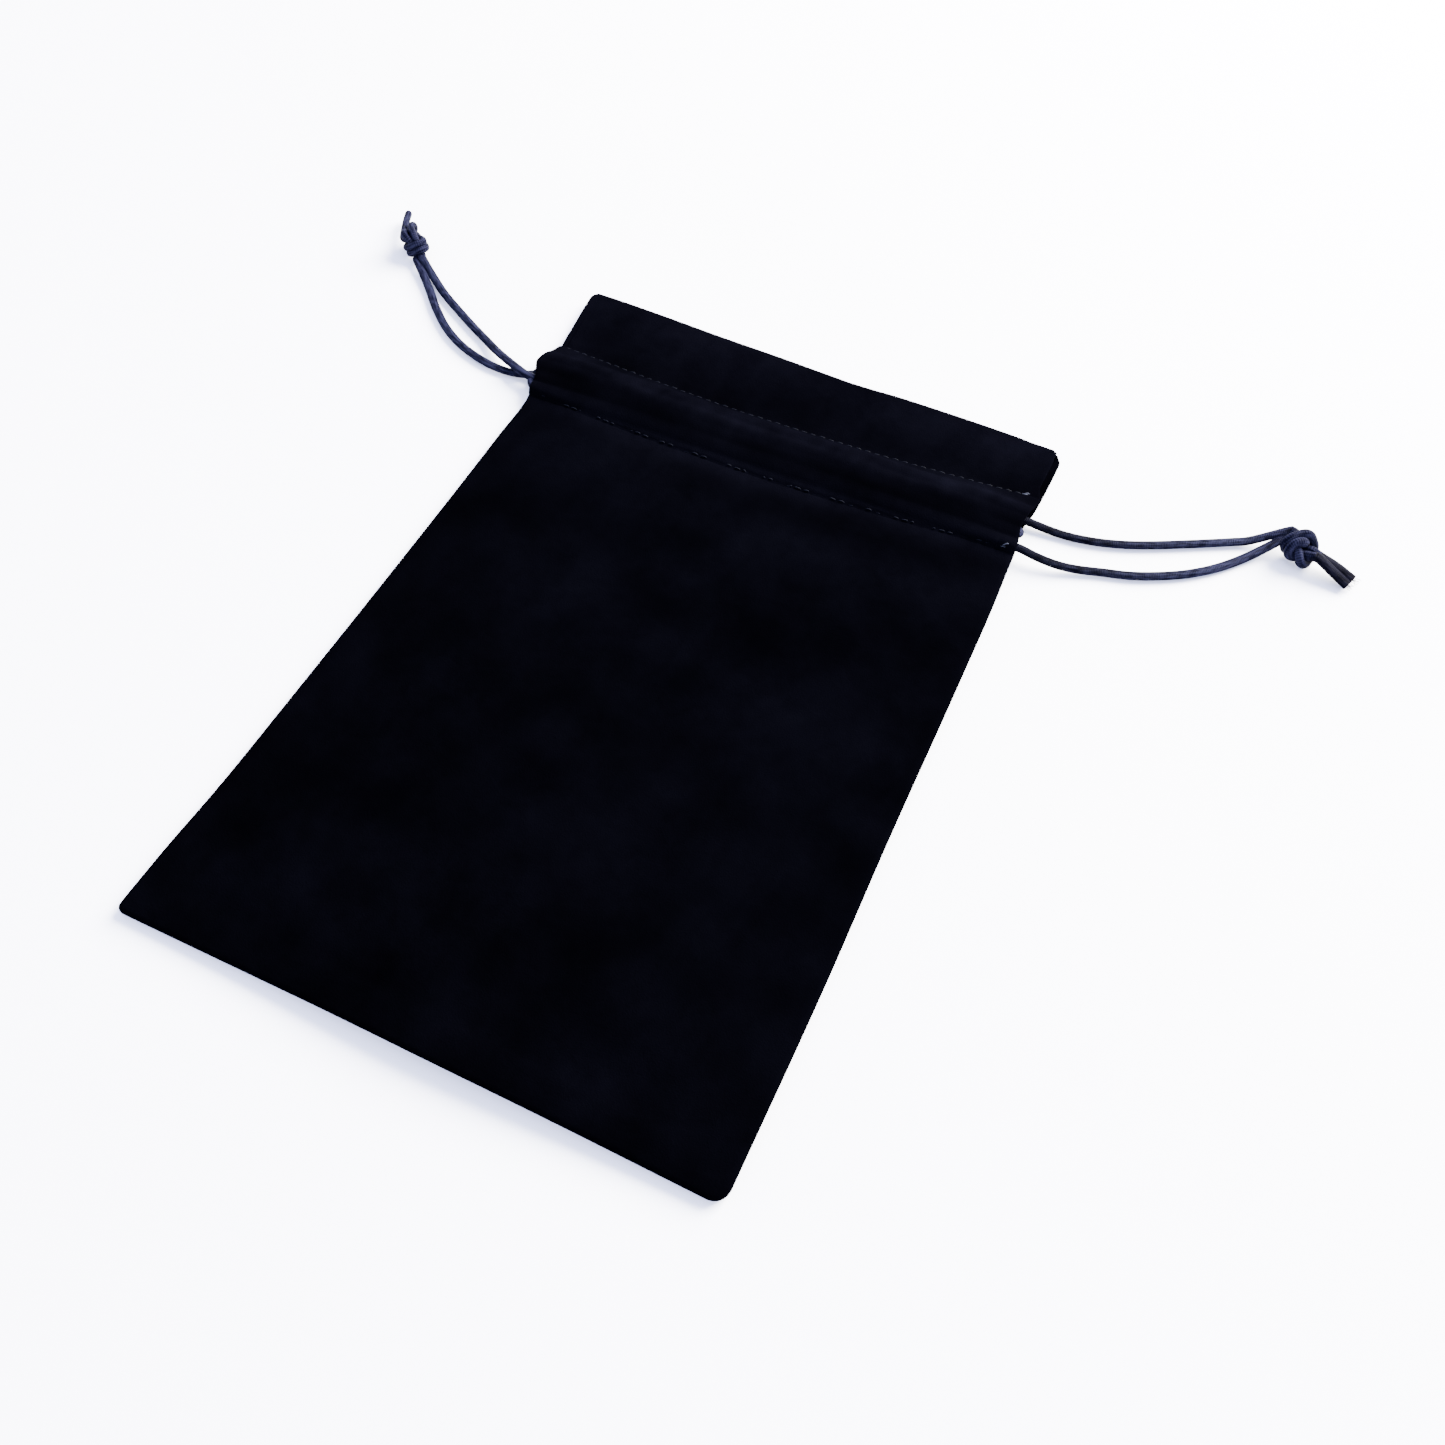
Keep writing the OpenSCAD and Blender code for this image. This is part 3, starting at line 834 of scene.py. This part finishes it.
def folded_cloth(name, outside, inside, rim_z, mouth_r, right_inset, upward, brushed):
    """One cut of velvet: up the outside from the bottom seam, round the mouth and down inside.

    outside and inside give the middle height of each layer at a place, rim_z is where its rim meets the
    other cloth's, mouth_r is how far it bulges at the mouth, upward is 1 for the cloth whose outside looks
    up, and brushed scales its colour factor, painted light included.
    """
    x, y, bend = cloth_plan(ROWS, right_inset)
    sewn = 1 - smooth(-3.0, 0.5, row_v(x, y) - low_row(x))
    turned = (1 - np.cos(bend)) / (1 - math.cos(CURL_END))
    z = outside(np.clip(x, -73, 73), y)
    z = z + (rim_z - z) * turned * sewn - upward * (1 - sewn) * turned * 0.25
    foot = []
    for a in np.linspace(CURL_END, 0, 8)[:-1]:
        share = (1 - math.cos(a)) / (1 - math.cos(CURL_END))
        foot.append(np.stack([x[0], y[0] - RIM_R * math.sin(a), z[0] + (rim_z - z[0]) * share], axis=1))
    body = np.concatenate([np.array(foot), np.stack([x, y, z], axis=2)])
    body[:, :, 2] += lift(body[:, :, 0], body[:, :, 1])

    fx, fy, _ = cloth_plan(FACING_ROWS, right_inset)
    facing = np.stack([fx * 0.975, fy, inside(np.clip(fx, -73, 73), fy)], axis=2)
    top, under = body[-1], facing[0]
    turn = []
    for a in np.linspace(0, math.pi, 7)[1:-1]:
        ring = (top + under) / 2
        ring[:, 2] += (top[:, 2] - under[:, 2]) / 2 * math.cos(a)
        ring[:, 1] = top[:, 1] + mouth_r * math.sin(a) + (under[:, 1] - top[:, 1]) * a / math.pi
        turn.append(ring)
    grid = np.concatenate([body, np.array(turn), facing])
    corners = ((RIGHT_EDGE, -112, BOTTOM_EDGE, 75, 3.6), (LEFT_EDGE, -112, BOTTOM_EDGE, -75, 1.3),
               (RIGHT_EDGE, 112, TOP_EDGE, 75, 2.6), (LEFT_EDGE, 112, TOP_EDGE, -75, 2.0))
    for side, at_y, end, at_x, r in corners:
        corner_x, corner_y = through(side, at_y), through(end, at_x)
        grid[:, :, 0], grid[:, :, 1] = round_corner(grid[:, :, 0], grid[:, :, 1], corner_x, corner_y, r)
    n = normals(grid) * CLOTH / 2
    verts, faces = shell(grid + n, grid - n)
    obj = mesh_piece(name, verts, faces, VELVET)
    # The colour factor that the velvet reads: mottling plus painted light and painted highlight.
    nap_and_painted_light = obj.data.attributes.new("nap_and_painted_light", "FLOAT", "POINT")
    nap_and_painted_light.data.foreach_set("value", (brushed * nap_and_painted_light_at(verts[:, 0], verts[:, 1])).astype(np.float32))
    return obj


def back_bottom(x, y):
    """The middle height of the back cloth's outer layer, drawn up a little at its stitch rows."""
    up = row_v(x, y) - low_row(x)
    drawn_up = bell(up, 0, 0.6) + bell(up, CASING_H, 0.6)
    return CLOTH / 2 + 0.06 + 0.05 * (1 + ripple(x, y, 30, 31)) / 2 + 0.28 * drawn_up


def front_cloth():
    """The front of the pocket, its lip and its facing."""
    return folded_cloth("front_cloth", lambda x, y: front_top(x, y) - CLOTH / 2, front_inner,
                        rim_z=SEAM_Z + 0.05, mouth_r=0.75, right_inset=1.9, upward=1, brushed=1.0)


def back_cloth():
    """The back of the pocket, its lip and its facing."""
    return folded_cloth("back_cloth", back_bottom, lambda x, y: back_facing_top(x, y) - CLOTH / 2,
                        rim_z=SEAM_Z - 0.15, mouth_r=0.6, right_inset=0.0, upward=-1, brushed=0.6)


FRONT = front_cloth()
BACK = back_cloth()
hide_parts("front_panel", "front_lip", "front_facing")
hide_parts("back_panel", "back_lip", "back_facing")
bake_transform(FRONT)
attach(BACK, "pocket")


# ------------------------------------------------------------------ stitches

# Half a row's length, and the pitch of its stitches
ROW_HALF, ROW_PITCH = 71.5, 2.75


def stitched(route, pitch, gap, sink, radius=0.17):
    """Separate stitches along a route, each dipping into the cloth at its needle holes.

    route gives the place of a share from 0 to 1 of its length, sink the way into the cloth.
    """
    ends = route(np.linspace(0, 1, 400))
    count = int(path_length(ends) / pitch)
    strands = []
    for i in range(count):
        middle, half = (i + 0.5) / count, (pitch - gap) / pitch / count / 2
        across = np.linspace(-1, 1, 7)
        place = route(middle + half * across)
        place = place + np.outer(0.34 * np.abs(across) ** 3, sink)
        strands.append((place, radius))
    return strands


def along_row(up, height):
    """A route along a stitch row, at the height that a function gives."""
    def route(share):
        u = (2 * np.asarray(share) - 1) * ROW_HALF
        v = low_row(u) + up + 0.06 * np.sin(1.7 * np.floor(u / ROW_PITCH))
        place = np.array([on_row(a, b, 0) for a, b in zip(np.atleast_1d(u), np.atleast_1d(v))])
        place[:, 2] = height(place[:, 0], place[:, 1])
        return place
    return route


def along_seam(a, b):
    """A straight route inside a seam."""
    a, b = np.array(a), np.array(b)
    return lambda share: a + np.outer(np.atleast_1d(share), b - a)


def stitch_rows():
    """The two rows through each lip. A back row shows inside and outside."""
    down, upward = (0, 0, -1.0), (0, 0, 1.0)
    for side, top in (("front", front_top), ("back", back_facing_top)):
        for row, up in (("lower", 0.0), ("upper", CASING_H)):
            strands = stitched(along_row(up, lambda x, y: top(x, y) + 0.14), ROW_PITCH, 0.8, down, 0.14)
            if side == "back":
                strands += stitched(along_row(up, lambda x, y: 0.22 + 0 * x), ROW_PITCH, 0.7, upward)
            node = f"{side}_{row}_stitches"
            obj = tube_piece(node + "_thread", strands, THREAD, 8)
            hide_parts(node)
            if side == "front":
                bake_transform(obj)
            else:
                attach(obj, "pocket")


def seam_stitches():
    """The side and bottom seams, hidden between the two cloths."""
    inset, end = 2.3, 66.0
    left, right, foot = -HALF_W + inset, HALF_W - inset, BOTTOM_Y + inset + 0.4
    seams = {
        "left_seam_thread": [(left + 1, BOTTOM_Y + 4, SEAM_Z), (left + 2.6, end, SEAM_Z)],
        "right_seam_thread": [(right, BOTTOM_Y + 6, SEAM_Z), (right - 0.6, end, SEAM_Z)],
        "bottom_seam_thread": [(-HALF_W + 5, foot, SEAM_Z), (HALF_W - 8, foot, SEAM_Z)],
    }
    for node, (a, b) in seams.items():
        obj = tube_piece(node + "_stitches", stitched(along_seam(a, b), 2.6, 0.4, (0, 0, 0)), THREAD, 8)
        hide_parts(node)
        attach(obj, "pocket")


def back_tacks():
    """The doubled thread at the right end of each front row: three short strands crossing each other."""
    strands = []
    share = np.linspace(-1, 1, 7)
    for up, start in ((0.0, 71.6), (CASING_H, 71.8)):
        for k, lean in enumerate((-0.28, 0.0, 0.30)):
            us = start + 0.75 * share + 0.25 * k
            vs = low_row(us) + up + lean * (us - start) / 0.8 + 0.12 * (k - 1)
            place = np.array([on_row(u, v, 0) for u, v in zip(us, vs)])
            place[:, 2] = front_top(place[:, 0], place[:, 1]) + 0.12 + 0.05 * k - 0.3 * share**4
            strands.append((place, 0.17))
    tack = tube_piece("back_tacks", strands, PALE_THREAD, 8)
    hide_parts("back_tack_threads")
    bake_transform(tack)


stitch_rows()
seam_stitches()
back_tacks()


# ------------------------------------------------------------------ runs and turns

# Where along the row a turn starts to bend, how far out of the slit it reaches, and how square it is
BEND_START = RUN_END - 3.5
TURN_REACH = 2.6
TURN_POWER = 0.75
# A turn's straight lead into its bend, and where it is carried from the front to the back
TURN_LEAD = 0.8


def held_runs():
    """The straight stretches inside the casings, each ending where its cord's turn begins."""
    runs = {
        "left_front_run": (-RUN_END, BEND_START, LEFT_FRONT_V, FRONT_CORD_Z, "left_cord_front"),
        "left_back_run": (-RUN_END, BEND_START, LEFT_BACK_V, BACK_CORD_Z, "left_cord"),
        "right_front_run": (-BEND_START, RUN_END, RIGHT_FRONT_V, FRONT_CORD_Z, "right_cord_front"),
        "right_back_run": (-BEND_START, RUN_END, RIGHT_BACK_V, BACK_CORD_Z, "right_cord"),
    }
    for node, (start, end, v, z, body) in runs.items():
        path = catmull([on_row(u, v, z) for u in (start, -24, 24, end)], 2.0)
        obj = tube_piece(node + "_cord", [(path, CORD_R * HELD)], SATIN)
        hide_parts(node)
        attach(obj, body)


def turn_path(side, vf, vb):
    """A rounded bend out of one slit, from the front casing to the back one."""
    points = [on_row(side * (BEND_START - TURN_LEAD), vf, FRONT_CORD_Z)]
    for t in np.linspace(0, math.pi, 9):
        u = BEND_START + (RUN_END + TURN_REACH - BEND_START) * math.sin(t) ** TURN_POWER
        share = 0.5 + 0.5 * math.copysign(abs(math.cos(t)) ** TURN_POWER, math.cos(t))
        z = BACK_CORD_Z + (FRONT_CORD_Z - BACK_CORD_Z) * share
        points.append(on_row(side * u, vb + (vf - vb) * share, z))
    points.append(on_row(side * (BEND_START - TURN_LEAD), vb, BACK_CORD_Z))
    return catmull(points, RING_STEP)


def turns():
    """Each cord's turn round the slit on the far side."""
    plan = (("left", 1, LEFT_FRONT_V, LEFT_BACK_V), ("right", -1, RIGHT_FRONT_V, RIGHT_BACK_V))
    for name, side, vf, vb in plan:
        obj = tube_piece(name + "_turn_cord", [(turn_path(side, vf, vb), CORD_R * HELD)], SATIN)
        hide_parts(name + "_turn")
        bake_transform(obj)


held_runs()
turns()


# ------------------------------------------------------------------ floor and light

def stage():
    """A plain pale floor under a pale blue sky, with one large lamp to the upper right."""
    size, height = 8.0, -0.0002
    n = Nodes("floor")
    n.shader.inputs["Base Color"].default_value = (0.94, 0.94, 0.96, 1.0)
    n.shader.inputs["Roughness"].default_value = 0.9
    n.shader.inputs["Specular IOR Level"].default_value = 0.0
    data = bpy.data.meshes.new("floor")
    corners = [(x * size, y * size, height) for x, y in ((-1, -1), (1, -1), (1, 1), (-1, 1))]
    data.from_pydata(corners, [], [(0, 1, 2, 3)])
    data.materials.append(n.material)
    floor = bpy.data.objects.new("floor", data)
    bpy.context.scene.collection.objects.link(floor)
    world = bpy.data.worlds.new("studio")
    world.use_nodes = True
    sky = world.node_tree.nodes["Background"]
    sky.inputs["Color"].default_value = (0.60, 0.655, 1.0, 1.0)
    sky.inputs["Strength"].default_value = 4.9
    bpy.context.scene.world = world
    lamp = bpy.data.lights.new("key", "AREA")
    lamp.energy = 700.0
    lamp.size = 1.3
    lamp.color = (1.0, 0.965, 0.90)
    place = Vector((0.78, 1.40, 1.05))
    key = bpy.data.objects.new("key", lamp)
    key.location = place
    key.rotation_euler = (-place).to_track_quat("-Z", "Y").to_euler()
    bpy.context.scene.collection.objects.link(key)


stage()


# ------------------------------------------------------------------ what moves with what

for name, (obj, path) in LEGS.items():
    body = name.split("_")[0] + "_cord"
    if "front" in name:
        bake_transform(obj)
    else:
        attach(obj, body)
